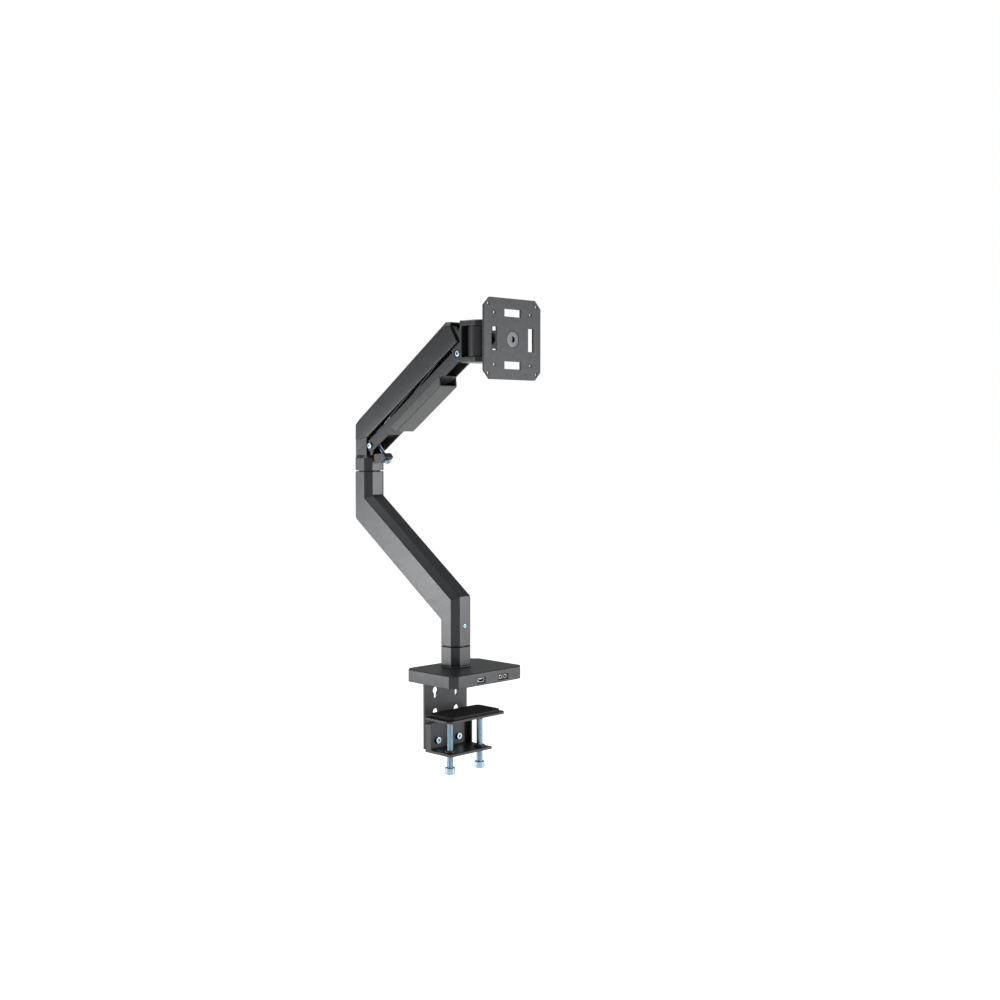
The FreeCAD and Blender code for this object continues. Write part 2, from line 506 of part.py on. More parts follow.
# ---- spring anchor: lug, tension screw and carriage on one sloping axis ----
tilt = math.radians(d.screw_tilt)
seat_x, seat_z = math.sin(tilt), math.cos(tilt)
anchor_x, anchor_z = ax + d.anchor_x, az + d.anchor_z


def on_screw(run, side=0.0):
    """Point a distance down the tension screw's axis, and to its side, in the XZ plane."""
    return (anchor_x + seat_x * run + seat_z * side, anchor_z - seat_z * run + seat_x * side)


lug_front = -d.reach + half
anchor_lug = slab("anchor_lug_shape", [(lug_front, 331), on_screw(d.screw_seat, -7), on_screw(d.screw_seat, 7),
                                       on_screw(d.screw_seat - 9, 7), (lug_front, 343)], "2 * lug_in - 0.4")


def on_screw_axis(obj, down):
    """Set an object drawn along +z on the tension screw's axis."""
    point = on_screw(down)
    obj.Placement = Placement(Vector(point[0], 0, point[1]), Rotation(Vector(0, 1, 0), -d.screw_tilt))
    return obj


lug_bore = doc.addObject("Part::Cylinder", "anchor_lug_bore")
bind(lug_bore, "Radius", "screw_rad + 0.1")
lug_bore.Height = 40
on_screw_axis(lug_bore, d.screw_seat + 5)
node(cut("anchor_lug_body", anchor_lug, lug_bore), "anchor_lug")

screw_shaft = rod("tension_shaft", "screw_rad", "screw_seat - 8", 0, 0, "4.5")
screw_head = rod("tension_head", "screw_rad + 2", 4.5)
screw_key = hex_key("tension_key", 4, 2.5, 0, 0, 0)
tension = cut("tension_body", join("tension_blank", screw_shaft, screw_head), screw_key)
node(on_screw_axis(tension, d.screw_seat + 4.7), "tension_screw")

carriage_block = block("carriage_block", 12, "2 * carriage_half", "carriage_low + carriage_high", -6,
                       "-carriage_half", "-carriage_low")
carriage_pin = rod("carriage_pin", "anchor_pin_rad", "2 * fork_out + 1", 0, "-fork_out - 0.5", 0, "y")
carriage_bore = rod("carriage_bore", "screw_rad + run_fit", "carriage_low - 3", 0, 0, "-carriage_low")
carriage = cut("carriage_body", join("carriage_blank", carriage_block, carriage_pin), carriage_bore)
node(on_screw_axis(carriage, 0), "spring_carriage")


# ---- upper link, its hood and the strut pin, drawn level from the elbow pivot and then inclined ----
def incline(obj, x, z):
    """Turn an object drawn level along +x up to the arm's incline about a pivot."""
    obj.Placement = Placement(Vector(0, 0, 0), Rotation(Vector(0, -1, 0), d.incline))
    bind(obj, "Placement.Base.x", x)
    bind(obj, "Placement.Base.z", z)
    return obj


up_bar = block("upper_bar", "link_long", "upper_w", "2 * upper_half", 0, "-upper_w / 2", "-upper_half")
up_ends = [rod("upper_end_%d" % i, "upper_half", "upper_w", x, "-upper_w / 2", 0, "y")
           for i, x in enumerate((0, "link_long"), start=1)]
up_ends += [rod("upper_collar_%d" % i, "pivot_rad + 3", "neck_w - 2 * cheek - 2 * side_play", x,
                "-neck_w / 2 + cheek + side_play", 0, "y") for i, x in enumerate((0, "link_long"), start=1)]
up_room = block("upper_room", "link_long + 40", "upper_w - 2 * upper_wall", "2 * upper_half - upper_wall",
                -20, "-upper_w / 2 + upper_wall", "-upper_half")
up_cuts = [up_room, block("upper_nose", 30, "upper_w - 2 * upper_wall", 30, -22, "-upper_w / 2 + upper_wall", -15),
           block("upper_tail", 30, "upper_w - 2 * upper_wall", 30, "link_long - 8",
                 "-upper_w / 2 + upper_wall", -15)]
up_cuts += [rod("upper_pin_hole_%d" % i, "pivot_rad + run_fit", "neck_w", x, "-neck_w / 2", 0, "y")
            for i, x in enumerate((0, "link_long"), start=1)]
up_cuts.append(rod("upper_strut_hole", "link_screw_rad", "upper_w", "strut_at", "-upper_w / 2", 0, "y"))
hood_screws = (228,)
up_cuts += [rod("upper_hood_hole_%d" % i, 2, 6, x, 0, "upper_half - 4") for i, x in enumerate(hood_screws, start=1)]
node(incline(cut("upper_channel", join("upper_blank", up_bar, *up_ends), *up_cuts), "upper_px", "upper_pz"),
     "upper_link")
node(rod("strut_pin_blank", "link_screw_rad", "upper_w", "upper_px + strut_at * cos(incline)", "-upper_w / 2",
         "upper_pz + strut_at * sin(incline)", "y"), "strut_pin")

hood_half = d.hood_w / 2
rest = math.radians(d.incline)
hood_tip = d.link_long + 6
hood_back = 17.6


def hood_line(x):
    """Height of the hood's roof over the upper link's pivots; it rises towards the tip."""
    return d.hood_up + d.hood_rise * x / d.link_long


def level_cut(x, inset):
    """Height of the level end of the roof, which lines up with the top of the head."""
    return (d.head_up - (x - d.link_long) * math.sin(rest) - inset) / math.cos(rest)


def level_start(inset):
    """Where the roof, moved down by the inset, meets its level end."""
    start = d.link_long
    for _ in range(20):
        start = d.link_long + (d.head_up - inset - (hood_line(start) - inset) * math.cos(rest)) / math.sin(rest)
    return start


def top_edge(edge):
    """Top edges of the hood's sides."""
    side = lies_at(edge, "y", hood_half) or lies_at(edge, "y", -hood_half)
    return side and edge.BoundBox.ZMin > 0 and edge.BoundBox.XLength > 1


top_back = (d.hood_up * math.sin(rest) - hood_back) / math.cos(rest)
hood_outline = [(1.8, -d.hood_down), (hood_tip, -d.hood_down), (hood_tip, level_cut(hood_tip, 0)),
                (level_start(0), hood_line(level_start(0))), (top_back, hood_line(top_back)), (-26, -8)]
hood_outer = slab("hood_outer", hood_outline, "hood_w", corners=("hood_round", top_edge))
inner_half = hood_half - d.hood_wall


def inner_top_edge(edge):
    """Top edges of the hollow under the hood."""
    side = lies_at(edge, "y", inner_half) or lies_at(edge, "y", -inner_half)
    return side and edge.BoundBox.ZMax > 0 and edge.BoundBox.XLength > 1 and edge.BoundBox.ZMin > -d.hood_down - 4


inner_start = level_start(d.hood_wall)
hood_inner = slab("hood_inner", [(-60, -d.hood_down - 5), (hood_tip + 15, -d.hood_down - 5),
                                 (hood_tip + 15, level_cut(hood_tip + 15, d.hood_wall)),
                                 (inner_start, hood_line(inner_start) - d.hood_wall),
                                 (-60, hood_line(-60) - d.hood_wall)],
                  "hood_w - 2 * hood_wall", corners=("hood_round - 2.1", inner_top_edge))
bosses = [rod("hood_boss_%d" % i, 4, hood_line(x) - d.upper_half - 1, x, 0, "upper_half")
          for i, x in enumerate(hood_screws, start=1)]
boss_holes = [rod("hood_boss_hole_%d" % i, 2, 4, x, 0, "upper_half")
              for i, x in enumerate(hood_screws, start=1)]
hood = cut("hood", join("hood_body", cut("hood_shell", hood_outer, hood_inner), *bosses), *boss_holes)
node(incline(hood, "upper_px", "upper_pz"), "upper_cover")
for i, x in enumerate(hood_screws, start=1):
    shank = rod("hood_screw_shank_%d" % i, 2, 6.4, x, 0, "upper_half - upper_wall - 0.5")
    head = rod("hood_screw_head_%d" % i, 3.5, 2, x, 0, "upper_half - upper_wall - 2")
    socket = hex_key("hood_screw_key_%d" % i, 2.5, 1.2, x, 0, "upper_half - upper_wall - 2")
    screw = cut("hood_screw_%d" % i, join("hood_screw_blank_%d" % i, shank, head), socket)
    node(incline(screw, "upper_px", "upper_pz"), "cover_screw")

# ---- lower link: channel open at the top, with windows under both ends, and its clip-on cable cover ----
low_bar = block("lower_bar", "link_long", "lower_w", "lower_down + lower_up", 0, "-lower_w / 2", "-lower_down")
low_ends = [rod("lower_end_%d" % i, "ear_rad", "lower_w", x, "-lower_w / 2", 0, "y")
            for i, x in enumerate((0, "link_long"), start=1)]
low_room = block("lower_room", "link_long + 40", "lower_w - 2 * lower_wall", 40, -20,
                 "-lower_w / 2 + lower_wall", "-lower_down + lower_wall")
low_cuts = [low_room,
            block("lower_window_1", "window + 20", "lower_w - 2 * lower_wall", 30, -20,
                  "-lower_w / 2 + lower_wall", -20),
            block("lower_window_2", "window + 20", "lower_w - 2 * lower_wall", 30, "link_long - window",
                  "-lower_w / 2 + lower_wall", -20)]
low_cuts += [rod("lower_pin_hole_%d" % i, "link_screw_rad + run_fit", "lower_w", x, "-lower_w / 2", 0, "y")
             for i, x in enumerate((0, "link_long"), start=1)]
node(incline(cut("lower_channel", join("lower_blank", low_bar, *low_ends), *low_cuts), "lower_px", "lower_pz"),
     "lower_link")

flare = (d.cable_floor - d.cable_rim) * 0.55
cable_outer = slab("cable_outer", [(d.cable_from, -d.cable_rim), (d.cable_from + flare, -d.cable_floor),
                                   (d.cable_to - flare, -d.cable_floor), (d.cable_to, -d.cable_rim)], "cable_w",
                   break_edges=("edge_break", lambda e: e.BoundBox.ZMax < -d.cable_floor + 0.1))
cable_room = block("cable_room", "cable_to - cable_from + 4", "cable_w - 2 * cable_wall",
                   "cable_floor - cable_wall + 4", "cable_from - 2", "-cable_w / 2 + cable_wall",
                   "-cable_floor + cable_wall")
clips = []
for i, x in enumerate((90, 131, 172), start=1):
    for side, word in ((-1, "left"), (1, "right")):
        start = "lower_w / 2" if side > 0 else "-cable_w / 2 + cable_wall - 0.2"
        clips.append(block("cable_clip_%s_%d" % (word, i), 10, "cable_w / 2 - cable_wall - lower_w / 2 + 0.2", 2,
                           x, start, "-lower_down + 1.5"))
node(incline(join("cable_cover_body", cut("cable_shell", cable_outer, cable_room), *clips), "lower_px", "lower_pz"),
     "cable_cover")

# ---- gas strut, drawn level from its pin on the upper link towards the anchor ----
pin_x = ax + d.strut_at * math.cos(rest)
pin_z = az + d.strut_at * math.sin(rest)
strut_long = math.hypot(pin_x - anchor_x, pin_z - anchor_z)
strut_slope = math.degrees(math.atan2(pin_z - anchor_z, pin_x - anchor_x))


def along_strut(obj):
    """Turn an object drawn back along -x from the strut pin onto the strut's line."""
    obj.Placement = Placement(Vector(pin_x, 0, pin_z), Rotation(Vector(0, -1, 0), strut_slope))
    return obj


tube = rod("strut_tube", "strut_rad", "strut_long", "-strut_long - 14", 0, 0, "x")
tail = rod("strut_tail", 4, 12, -15, 0, 0, "x")
eye = rod("strut_eye", 6.5, 10, 0, -5, 0, "y")
eye_hole = rod("strut_eye_hole", "link_screw_rad + run_fit", 12, 0, -6, 0, "y")
tube_bore = rod("strut_bore", "rod_rad + run_fit", "strut_long - 8", "-strut_long - 15", 0, 0, "x")
node(along_strut(cut("strut_body", join("strut_blank", tube, tail, eye), eye_hole, tube_bore)), "strut_cylinder")

fork_x = -strut_long
fork_end = d.fork_reach + 6
piston_rod = rod("piston_rod", "rod_rad", strut_long - fork_end - 95, fork_x + fork_end, 0, 0, "x")
fork_parts = [piston_rod, block("fork_base", 6, "2 * fork_out", 8, fork_x + d.fork_reach, "-fork_out", -4)]
slots = []
for start, word in (("-fork_out", "left"), ("fork_in", "right")):
    ear_back = "%f - fork_slot - fork_wall" % fork_x
    fork_parts.append(block("fork_eye_" + word, "2 * fork_slot + 2 * fork_wall", "fork_out - fork_in",
                            "fork_down + fork_up + 2 * fork_wall", ear_back, start, "-fork_down - fork_wall"))
    fork_parts.append(block("fork_arm_" + word, "fork_reach + 7 - fork_slot - fork_wall", "fork_out - fork_in", 8,
                            "%f + fork_slot + fork_wall - 1" % fork_x, start, -4))
    slots.append(block("fork_slot_" + word, "2 * fork_slot", "fork_out - fork_in", "fork_down + fork_up",
                       "%f - fork_slot" % fork_x, start, "-fork_down"))
node(along_strut(cut("rod_body", join("rod_blank", *fork_parts), *slots)), "strut_rod")

# ---- tip bracket: cheeks round the link ends and two lugs for the head swivel ----
cx, cz = ax + d.link_long * math.cos(rest), az + d.link_long * math.sin(rest)
ex, ez = bx + d.link_long * math.cos(rest), bz + d.link_long * math.sin(rest)
tip_plate = slab("tip_plate", [(cx - 8, cz - 9.6), (cx + 3, d.head_low + 12), (ex - 9, d.head_low + 2),
                               (d.wall_x + 1, d.head_low + 2), (d.wall_x + 1, d.head_top - 3),
                               (d.wall_x - 3, d.head_top - 6), (cx + 15, cz + 2), (cx + 4, cz + 10)], "neck_w")
tip_hub = rod("tip_hub", "hub_rad", "neck_w", "upper_px + link_long * cos(incline)", "-neck_w / 2",
              "upper_pz + link_long * sin(incline)", "y")
tip_room = block("tip_room", 60, "neck_w - 2 * cheek", 90, "wall_x - 60 + 1", "-neck_w / 2 + cheek", "head_low - 4")
tip_lx = "lower_px + link_long * cos(incline)"
tip_lz = "lower_pz + link_long * sin(incline)"
screw_wells = rod("tip_screw_wells", "link_head_rad + 1.6", "neck_w", tip_lx, "-neck_w / 2", tip_lz, "y")
tip_cheeks = cut("tip_cheeks", join("tip_cheek_blank", tip_plate, tip_hub), tip_room, screw_wells)
tip_lug_shape = slab("tip_lug_shape", [(ex, ez - 9), (d.wall_x + 1, ez - 9), (d.wall_x + 1, ez + 9), (ex, ez + 9)],
                     "2 * lug_out")
tip_lug_end = rod("tip_lug_end", "ear_rad - 0.5", "2 * lug_out", tip_lx, "-lug_out", tip_lz, "y")
tip_lug_gap = block("tip_lug_gap", 60, "2 * lug_in", 60, "wall_x - 60", "-lug_in", "head_low")
tip_lugs = cut("tip_lugs", join("tip_lug_blank", tip_lug_shape, tip_lug_end), tip_lug_gap)
wall = slab("tip_wall", [(d.wall_x, d.head_low), (d.wall_x + d.wall_thick, d.head_low),
                         (d.wall_x + d.wall_thick, d.head_top), (d.wall_x, d.head_top)], "section_w")
lug_outline = [(d.wall_x, -half), (d.pan_x + 10, -half), (d.pan_x + 20, -half + 10), (d.pan_x + 20, half - 10),
               (d.pan_x + 10, half), (d.wall_x, half)]
lug_high = slab("tip_lug_high", lug_outline, "lug_thick", "XY", "head_top - lug_thick",
                break_edges=("1.5", lambda e: lies_at(e, "z", d.head_top)))
lug_low = slab("tip_lug_low", lug_outline, "lug_thick", "XY", "head_low",
               break_edges=("edge_break", lambda e: lies_at(e, "z", d.head_low)))
tip_cuts = [rod("tip_pin_hole", "pivot_rad", "neck_w", "upper_px + link_long * cos(incline)", "-neck_w / 2 + 1",
                "upper_pz + link_long * sin(incline)", "y"),
            rod("tip_screw_hole", "link_screw_rad", "2 * lug_out", tip_lx, "-lug_out", tip_lz, "y"),
            rod("pan_hole", "pan_rad", "head_top - head_low", "pan_x", 0, "head_low"),
            rod("pan_head_seat", "pan_rad + 4", 4.2, "pan_x", 0, "head_top - 4.2")]
node(cut("tip", join("tip_body", tip_cheeks, tip_lugs, wall, lug_high, lug_low), *tip_cuts), "tip_bracket")
pivot_set("tip")

pan_head = rod("pan_head", "pan_rad + 3.7", 4, "pan_x", 0, "head_top - 4.2")
pan_shank = rod("pan_shank", "pan_rad", "head_top - head_low - 4", "pan_x", 0, "head_low")
pan_key = hex_key("pan_key", 6, 3, "pan_x", 0, "head_top - 3.2")
node(cut("pan_bolt_body", join("pan_bolt_blank", pan_head, pan_shank), pan_key), "pan_bolt")
ring("pan_washer_low", "barrel_rad - 1.5", "pan_rad + run_fit", "barrel_play - run_fit", "pan_x", 0,
     "head_low + lug_thick")
ring("pan_washer_high", "barrel_rad - 1.5", "pan_rad + run_fit", "barrel_play - run_fit", "pan_x", 0,
     "head_top - lug_thick - barrel_play + run_fit")

# ---- head knuckle: upright barrel between the lugs and a level barrel for the tilt bolt ----
barrel_low = "head_low + lug_thick + barrel_play"
barrel = rod("knuckle_barrel", "barrel_rad", "head_top - head_low - 2 * lug_thick - 2 * barrel_play", "pan_x", 0,
             barrel_low)
arm_bar = block("knuckle_bar", "tilt_x - pan_x", 20, 21, "pan_x", -10, "tilt_z - 10.5")
cross = rod("knuckle_cross", "tilt_barrel", "2 * tilt_half", "tilt_x", "-tilt_half", "tilt_z", "y")
knuckle_cuts = [rod("knuckle_pan_bore", "pan_rad + run_fit", "head_top - head_low", "pan_x", 0, "head_low"),
                rod("knuckle_tilt_bore", "tilt_rad + run_fit", "4 * tilt_half", "tilt_x", "-2 * tilt_half",
                    "tilt_z", "y")]
node(cut("knuckle", join("knuckle_body", barrel, arm_bar, cross), *knuckle_cuts), "head_knuckle")

# ---- tilt yoke with its bolt, nut and friction washers ----
yoke_out = "(yoke_in + yoke_thick)"
ear_bar = block("yoke_ear_bar", "yoke_front - tilt_x", "2 * " + yoke_out, "2 * tilt_barrel", "tilt_x",
                "-" + yoke_out, "tilt_z - tilt_barrel")
ear_end = rod("yoke_ear_end", "tilt_barrel", "2 * " + yoke_out, "tilt_x", "-" + yoke_out, "tilt_z", "y")
ear_room = block("yoke_room", 60, "2 * yoke_in", 80, "yoke_front - yoke_thick - 60", "-yoke_in", "tilt_z - 40")
yoke_ears = cut("yoke_ears", join("yoke_ear_blank", ear_bar, ear_end), ear_room)
yoke_face = block("yoke_face", "yoke_thick", "2 * " + yoke_out, "yoke_tall", "yoke_front - yoke_thick",
                  "-" + yoke_out, "tilt_z - yoke_tall / 2")
yoke_cuts = [rod("yoke_tilt_hole", "tilt_rad", "4 * tilt_half", "tilt_x", "-2 * tilt_half", "tilt_z", "y"),
             rod("yoke_turn_hole", "turn_rad", 20, "yoke_front - 10", 0, "tilt_z", "x")]
node(cut("yoke", join("yoke_body", yoke_ears, yoke_face), *yoke_cuts), "tilt_yoke")
tilt_shank = rod("tilt_shank", "tilt_rad", "2 * %s + 7" % yoke_out, "tilt_x", "-" + yoke_out, "tilt_z", "y")
tilt_head = rod("tilt_head", "tilt_rad + 3.5", 5, "tilt_x", "-%s - 5" % yoke_out, "tilt_z", "y")
tilt_key = hex_key("tilt_key", 6, 3, "tilt_x", "-%s - 5" % yoke_out, "tilt_z", "y")
node(cut("tilt_bolt_body", join("tilt_bolt_blank", tilt_shank, tilt_head), tilt_key), "tilt_bolt")
tilt_nut = hex_key("tilt_nut_hex", 16, 6, "tilt_x", yoke_out, "tilt_z", "y")
node(cut("tilt_nut_body", tilt_nut, rod("tilt_nut_hole", "tilt_rad", 6, "tilt_x", yoke_out, "tilt_z", "y")),
     "tilt_nut")
for side, word in ((-1, "left"), (1, "right")):
    start = "tilt_half + run_fit" if side > 0 else "-yoke_in"
    ring("tilt_washer_" + word, "tilt_barrel - 1", "tilt_rad", "yoke_in - tilt_half - run_fit", "tilt_x", start,
         "tilt_z", "y")

# ---- turning spindle and the mounting plate with its hole patterns ----
turn_shank = rod("turn_shank", "turn_rad", "vesa_back + 1.5 - yoke_front + yoke_thick + 4",
                 "yoke_front - yoke_thick - 4", 0, "tilt_z", "x")
turn_head = rod("turn_head", "turn_rad + 4", "vesa_thick - 1.7", "vesa_back + 1.5", 0, "tilt_z", "x")
turn_key = hex_key("turn_key", 8, 3, "vesa_back + vesa_thick - 3", 0, "tilt_z", "x")
node(cut("turn_spindle_body", join("turn_spindle_blank", turn_shank, turn_head), turn_key), "turn_spindle")
ring("turn_washer", "turn_rad + 9", "turn_rad", 1, "yoke_front", 0, "tilt_z", "x")

plate_half = d.vesa_w / 2
plate_sheet = slab("vesa_sheet", clipped(-plate_half, plate_half, -plate_half, plate_half, d.vesa_corner),
                   "vesa_thick", "XY", 0)
plate_holes = []
for tag, pitch in (("small", "vesa_small"), ("large", "vesa_large")):
    for i, (sy, sz) in enumerate(((-1, -1), (-1, 1), (1, -1), (1, 1)), start=1):
        plate_holes.append(rod("vesa_%s_%d" % (tag, i), "vesa_hole", "vesa_thick",
                               "%d * %s / 2" % (sy, pitch), "%d * %s / 2" % (sz, pitch), 0))
for i, (sy, sz) in enumerate(((1, 0), (-1, 0), (0, 1), (0, -1)), start=1):
    wide, tall = (11, 34) if sy else (34, 11)
    plate_holes.append(block("vesa_window_%d" % i, wide, tall, "vesa_thick", sy * 38 - wide / 2,
                             sz * 38 - tall / 2, 0))
flat_plate = cut("vesa_flat", plate_sheet, *plate_holes)
flat_plate.Placement = Placement(Vector(d.vesa_back, 0, d.tilt_z),
                                 Rotation(Vector(0, 1, 0), Vector(0, 0, 1), Vector(1, 0, 0)))
plate_boss = rod("vesa_boss", "turn_rad + 9", "vesa_back - yoke_front - 1 - run_fit", "yoke_front + 1 + run_fit",
                 0, "tilt_z", "x")
boss_bore = rod("vesa_bore", "turn_rad + run_fit", 10, "yoke_front", 0, "tilt_z", "x")
boss_seat = rod("vesa_seat", "turn_rad + 4.3", 10, "vesa_back + 1.45", 0, "tilt_z", "x")
node(cut("vesa", join("vesa_body", flat_plate, plate_boss), boss_bore, boss_seat), "vesa_plate")

# ---- check every object and write each sub-part ----
doc.recompute()
faults = []
for obj in doc.Objects:
    if "Invalid" in obj.State or "Error" in obj.State:
        faults.append("%s: %s" % (obj.Name, obj.State))
for label, obj in nodes:
    shape = obj.Shape
    if shape.isNull() or not shape.isValid() or len(shape.Solids) != 1:
        faults.append("%s: null, invalid or not one solid (%d)" % (label, len(shape.Solids)))
if faults:
    raise RuntimeError("part.py faults: " + "; ".join(faults))
os.makedirs("parts", exist_ok=True)
for label, obj in nodes:
    obj.Shape.exportStep(os.path.join("parts", label + ".step"))
print("wrote %d sub-parts" % len(nodes))
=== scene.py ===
import json
import math

import bpy
from mathutils import Matrix, Vector


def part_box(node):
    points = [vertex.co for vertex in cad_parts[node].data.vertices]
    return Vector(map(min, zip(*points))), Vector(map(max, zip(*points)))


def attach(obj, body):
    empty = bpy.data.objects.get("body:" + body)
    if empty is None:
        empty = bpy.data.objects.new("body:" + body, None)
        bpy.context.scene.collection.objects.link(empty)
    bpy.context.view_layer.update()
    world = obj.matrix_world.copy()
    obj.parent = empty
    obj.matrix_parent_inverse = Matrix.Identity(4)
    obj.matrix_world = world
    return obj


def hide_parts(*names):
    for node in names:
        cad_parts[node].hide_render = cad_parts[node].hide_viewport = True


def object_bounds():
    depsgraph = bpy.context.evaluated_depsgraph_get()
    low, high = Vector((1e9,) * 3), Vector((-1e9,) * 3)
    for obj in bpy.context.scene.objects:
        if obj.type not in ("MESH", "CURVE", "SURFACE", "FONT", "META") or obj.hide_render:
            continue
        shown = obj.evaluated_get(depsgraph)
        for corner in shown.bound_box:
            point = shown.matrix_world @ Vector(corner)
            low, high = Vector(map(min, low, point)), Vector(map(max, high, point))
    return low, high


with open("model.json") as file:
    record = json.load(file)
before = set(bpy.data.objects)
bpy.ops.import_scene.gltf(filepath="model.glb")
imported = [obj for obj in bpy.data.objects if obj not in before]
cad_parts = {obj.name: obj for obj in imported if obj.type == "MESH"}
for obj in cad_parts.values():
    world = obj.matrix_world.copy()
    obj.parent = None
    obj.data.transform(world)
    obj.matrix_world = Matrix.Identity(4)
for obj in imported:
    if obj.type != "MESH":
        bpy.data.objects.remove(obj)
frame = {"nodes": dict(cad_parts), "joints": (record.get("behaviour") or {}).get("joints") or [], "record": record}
cad_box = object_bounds()

# ---- Camera, floor and studio light ----
# The arm is shown from its front, 45 degrees round, with the camera near the height of its elbow.
# It stands over a pale floor before a white backdrop, lit by a low softbox at each side and one overhead.
degrees_down, degrees_round = 2.658, 45
camera = bpy.data.objects.new("camera", bpy.data.cameras.new("camera"))
camera.data.lens = 50.4
camera.data.sensor_width = 36
camera.location = (1.561, -1.465, 0.374)
camera.rotation_euler = (math.radians(90 - degrees_down), 0, math.radians(degrees_round))
bpy.context.scene.collection.objects.link(camera)
bpy.context.scene.camera = camera
bpy.context.scene.view_settings.view_transform = "Standard"

floor_drop = 0.16
bpy.ops.mesh.primitive_circle_add(vertices=96, radius=9, fill_type="NGON",
                                  location=(0, 0, cad_box[0].z - floor_drop))
floor = bpy.context.object
floor.name = "floor"
floor_paint = bpy.data.materials.new("floor_paint")
floor_paint.use_nodes = True
floor_shader = floor_paint.node_tree.nodes["Principled BSDF"]
floor_shader.inputs["Base Color"].default_value = (0.93, 0.93, 0.93, 1)
floor_shader.inputs["Roughness"].default_value = 0.7
floor_shader.inputs["Emission Color"].default_value = (1, 1, 1, 1)
floor_shader.inputs["Emission Strength"].default_value = 0.78
floor.data.materials.append(floor_paint)

world = bpy.data.worlds.new("studio")
world.use_nodes = True
sky = world.node_tree
fill_light = sky.nodes["Background"]
fill_light.inputs["Color"].default_value = (0.98, 0.99, 1, 1)
fill_light.inputs["Strength"].default_value = 0.30
backdrop = sky.nodes.new("ShaderNodeBackground")
backdrop.inputs["Color"].default_value = (1, 1, 1, 1)
backdrop.inputs["Strength"].default_value = 1.0
seen = sky.nodes.new("ShaderNodeLightPath")
either = sky.nodes.new("ShaderNodeMixShader")
sky.links.new(seen.outputs["Is Camera Ray"], either.inputs["Fac"])
sky.links.new(fill_light.outputs[0], either.inputs[1])
sky.links.new(backdrop.outputs[0], either.inputs[2])
sky.links.new(either.outputs[0], sky.nodes["World Output"].inputs["Surface"])
bpy.context.scene.world = world


middle_of_arm = Vector((-0.05, 0, 0.25))


def softbox(name, place, wide, tall, watts):
    """Rectangular light aimed at the middle of the arm."""
    light = bpy.data.lights.new(name, "AREA")
    light.shape = "RECTANGLE"
    light.size = wide
    light.size_y = tall
    light.energy = watts
    lamp = bpy.data.objects.new(name, light)
    lamp.location = place
    lamp.rotation_euler = (middle_of_arm - Vector(place)).to_track_quat("-Z", "Y").to_euler()
    lamp.visible_camera = False
    bpy.context.scene.collection.objects.link(lamp)


softbox("left_softbox", (-1.75, -1.95, -0.10), 0.9, 0.7, 34)
softbox("right_softbox", (2.3, 1.7, 0.30), 0.9, 1.2, 40)
softbox("top_softbox", (-0.9, -0.4, 2.4), 1.2, 1.2, 26)


# ---- Base housing ----
# A die-cast aluminium plate with a raised collar, covered in satin graphite paint. The paint lies
# in a very fine orange peel and rounds off the casting's edges. A cavity below takes the sockets.
MM = 0.001
nodes = frame["nodes"]
body_of_node = {node: body for body, members in frame["record"]["behaviour"]["bodies"].items()
                for node in members}


class Graph:
    """A socket in a material's node tree; arithmetic on it adds Math nodes."""

    def __init__(self, tree, socket=None):
        self.tree = tree
        self.socket = socket

    def node(self, kind, settings, inputs, out=0):
        """Add a node, with its settings and then the values or links of its sockets."""
        made = self.tree.nodes.new("ShaderNode" + kind)
        for key, value in settings.items():
            setattr(made, key, value)
        for key, value in inputs.items():
            if isinstance(value, Graph):
                self.tree.links.new(value.socket, made.inputs[key])
            else:
                made.inputs[key].default_value = value
        return Graph(self.tree, made.outputs[out])

    def maths(self, operation, first, second):
        return self.node("Math", {"operation": operation}, {0: first, 1: second})

    def __add__(self, other):
        return self.maths("ADD", self, other)

    def __radd__(self, other):
        return self.maths("ADD", other, self)

    def __mul__(self, other):
        return self.maths("MULTIPLY", self, other)

    def __rmul__(self, other):
        return self.maths("MULTIPLY", other, self)

    def noise(self, place, scale, detail=2.0):
        """Cloudy value from 0 to 1, finer as the scale grows."""
        return self.node("TexNoise", {}, {"Vector": place, "Scale": scale, "Detail": detail}, "Fac")

    def stretched(self, place, scale):
        """Object coordinates scaled by a different amount along each axis."""
        return self.node("Mapping", {}, {"Vector": place, "Scale": scale})

    def blend(self, amount, first, second):
        """One colour passing into another as the amount goes from 0 to 1."""
        return self.node("Mix", {"data_type": "RGBA"}, {0: amount, 6: (*first, 1), 7: (*second, 1)}, 2)


def new_material(name):
    """An empty principled material: its shader, its graph and the object coordinates."""
    made = bpy.data.materials.new(name)
    made.use_nodes = True
    graph = Graph(made.node_tree)
    place = graph.node("TexCoord", {}, {}, "Object")
    return made, made.node_tree.nodes["Principled BSDF"], graph, place


def feed(graph, shader, **links):
    """Join graphs to the shader's sockets."""
    names = {"color": "Base Color", "rough": "Roughness", "coat": "Coat Weight"}
    for key, value in links.items():
        graph.tree.links.new(value.socket, shader.inputs[names[key]])


def bump(graph, shader, height, depth):
    """Relief of the surface, depth in metres."""
    relief = graph.node("Bump", {}, {"Height": height, "Distance": depth, "Strength": 1.0})
    graph.tree.links.new(relief.socket, shader.inputs["Normal"])


